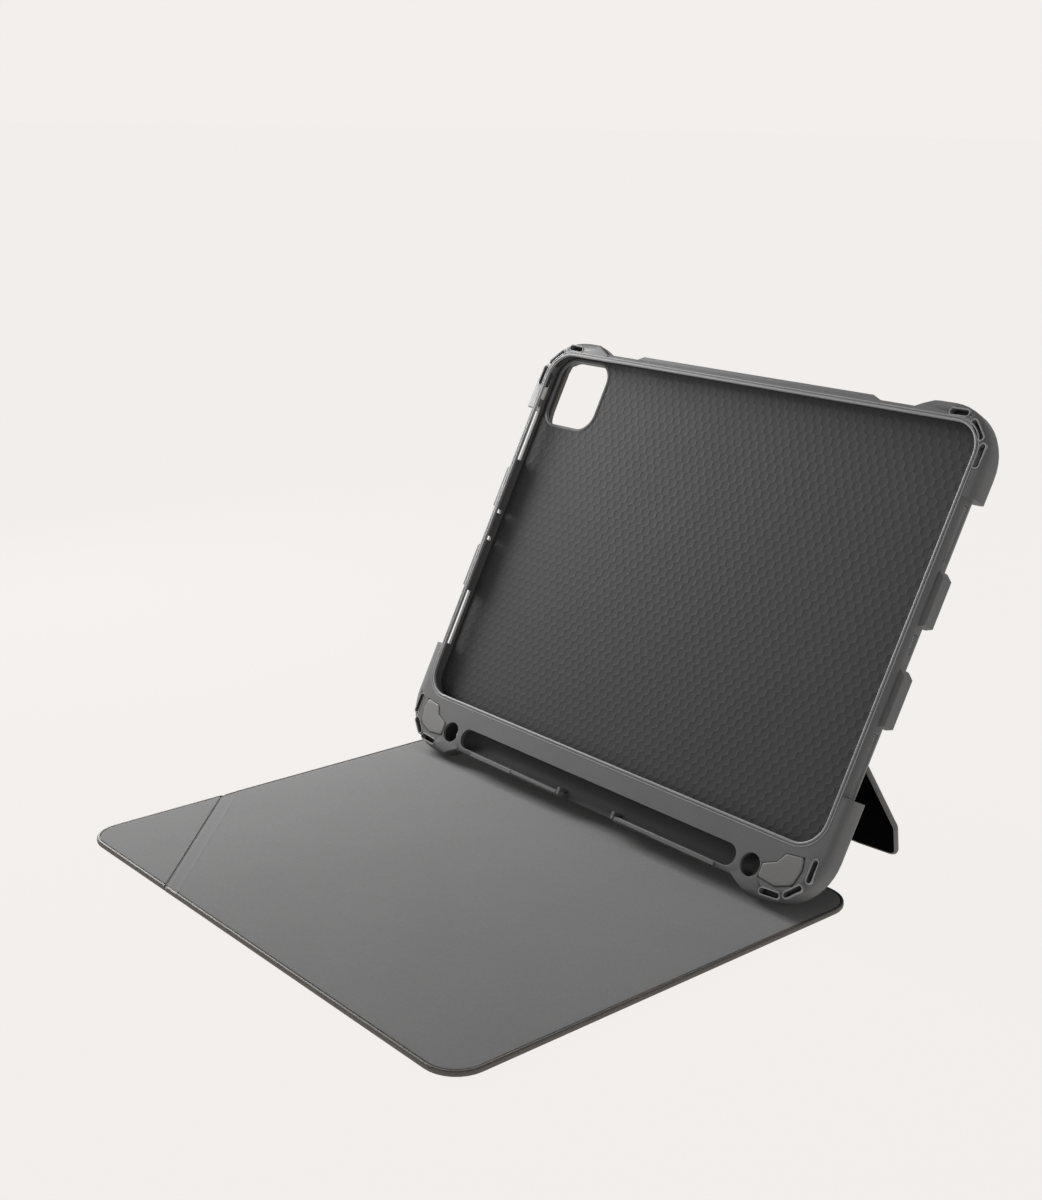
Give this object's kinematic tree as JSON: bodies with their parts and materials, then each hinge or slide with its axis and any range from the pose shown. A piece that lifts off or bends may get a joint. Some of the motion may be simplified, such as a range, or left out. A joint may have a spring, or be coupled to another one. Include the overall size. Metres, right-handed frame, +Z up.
{
  "type": "tablet case",
  "caption": "Folding tablet case: moulded tray with corner bumpers and pen trough, hinged stand panel, spine and lined cover with a folding corner.",
  "frame": {"origin": "on the table under the tray's lower front edge, on the case's centre plane", "axes": "+X to the user's right, +Y away from the user from the cover towards the stand, +Z up"},
  "size_m": [0.2592, 0.2761, 0.1918],
  "materials": {
    "tray_tpu": "dark grey moulded TPU, satin",
    "pad_tpu": "dark grey moulded TPU, matt",
    "outer_skin": "fine-grained charcoal polyurethane skin",
    "lining": "mid grey microfibre lining, matt",
    "inner_black": "black lining, matt",
    "board": "stiff fibre board",
    "magnet": "nickel plated"
  },
  "bodies": {
    "cover": {"cover_skin": "outer_skin", "cover_board": "board", "cover_lining": "lining", "cover_magnet_left": "magnet", "cover_magnet_right": "magnet", "keeper_plate_left": "magnet", "keeper_plate_right": "magnet", "corner_crease": "lining", "spine_crease": "inner_black"},
    "corner": {"corner_skin": "outer_skin", "corner_board": "board", "corner_lining": "lining"},
    "spine": {"spine_skin": "outer_skin", "spine_board": "board", "spine_lining": "lining", "foot_crease": "inner_black"},
    "stand": {"stand_skin": "outer_skin", "stand_board": "board", "stand_lining": "inner_black"},
    "tray": {"tray_shell": "tray_tpu", "chin_pad_left": "pad_tpu", "chin_pad_right": "pad_tpu", "foot_magnet_left": "magnet", "foot_magnet_right": "magnet", "back_skin": "outer_skin", "back_board": "board", "stand_crease": "inner_black"}
  },
  "joints": [
    {"name": "corner_fold", "type": "hinge", "parent": "cover", "child": "corner", "pos_m": [-0.0897, -0.1337, 0.0027], "axis": [-0.7071, 0.7071, 0], "range_deg": [0, 175]},
    {"name": "spine_fold", "type": "hinge", "parent": "cover", "child": "spine", "pos_m": [0, 0.048, 0.0012], "axis": [1, 0, 0], "range_deg": [-150, 0]},
    {"name": "stand_foot_fold", "type": "hinge", "parent": "spine", "child": "stand", "pos_m": [0, 0.08591, 0.0012], "axis": [1, 0, 0], "range_deg": [-10, 26]},
    {"name": "tray_tilt", "type": "hinge", "parent": "stand", "child": "tray", "pos_m": [0, 0.04079, 0.0606], "axis": [1, 0, 0], "range_deg": [-61, 24]}
  ],
  "couplings": [
    {"joint": "tray_tilt", "follows": "stand_foot_fold", "ratio": -2.33}
  ]
}
